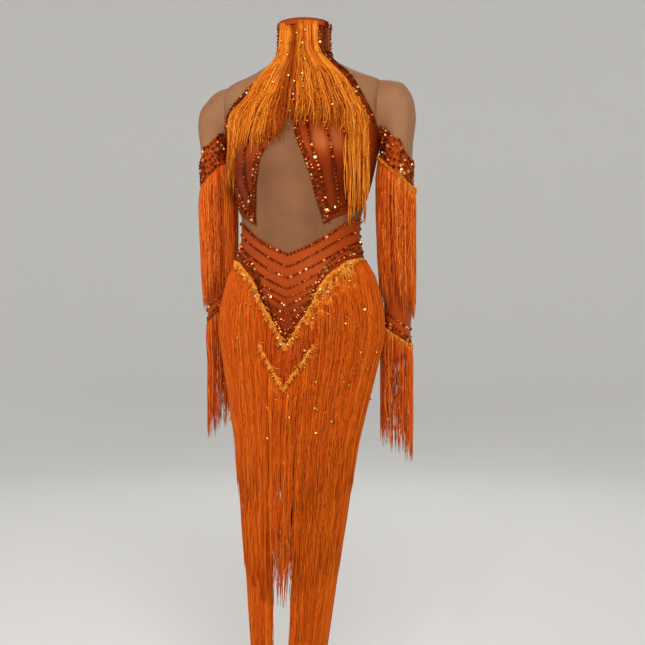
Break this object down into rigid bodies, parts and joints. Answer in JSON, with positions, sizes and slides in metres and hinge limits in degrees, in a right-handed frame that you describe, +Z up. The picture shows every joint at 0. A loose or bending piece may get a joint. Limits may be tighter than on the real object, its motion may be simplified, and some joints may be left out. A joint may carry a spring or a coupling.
{
  "type": "fringed stage bodysuit",
  "caption": "Worn, hollow long-sleeved stage bodysuit with sheer illusion mesh, crystal-lined halter and waist panels, and long fringe at collar, sleeves, cuffs and hips.",
  "frame": {"origin": "inside the neckline at the level of the neck's root, where the wearer's neck and shoulders carry the garment", "axes": "+Z up, the front faces -Y and +X is the wearer's left"},
  "size_m": [0.451, 0.2425, 1.3043],
  "materials": {
    "mesh": "fine sheer stretch net, tan",
    "lycra": "satin stretch jersey, rust orange",
    "fringe": "silky chainette fringe, orange"
  },
  "bodies": {
    "root": {"mesh_front": "mesh", "mesh_back_left": "mesh", "mesh_back_right": "mesh", "cap_left": "mesh", "cap_right": "mesh", "halter_left": "lycra", "halter_right": "lycra", "collar_back_left": "lycra", "collar_back_right": "lycra", "yoke_front": "lycra", "yoke_back_left": "lycra", "yoke_back_right": "lycra", "brief_front": "lycra", "brief_back_left": "lycra", "brief_back_right": "lycra", "gusset": "lycra", "sleeve_left": "lycra", "sleeve_right": "lycra", "fringe_collar": "fringe", "fringe_halter_left": "fringe", "fringe_halter_right": "fringe", "fringe_sleeve_left": "fringe", "fringe_sleeve_right": "fringe", "fringe_cuff_left": "fringe", "fringe_cuff_right": "fringe", "fringe_hip_upper": "fringe", "fringe_hip_lower": "fringe", "fringe_leg_left": "fringe", "fringe_leg_right": "fringe"}
  },
  "joints": []
}
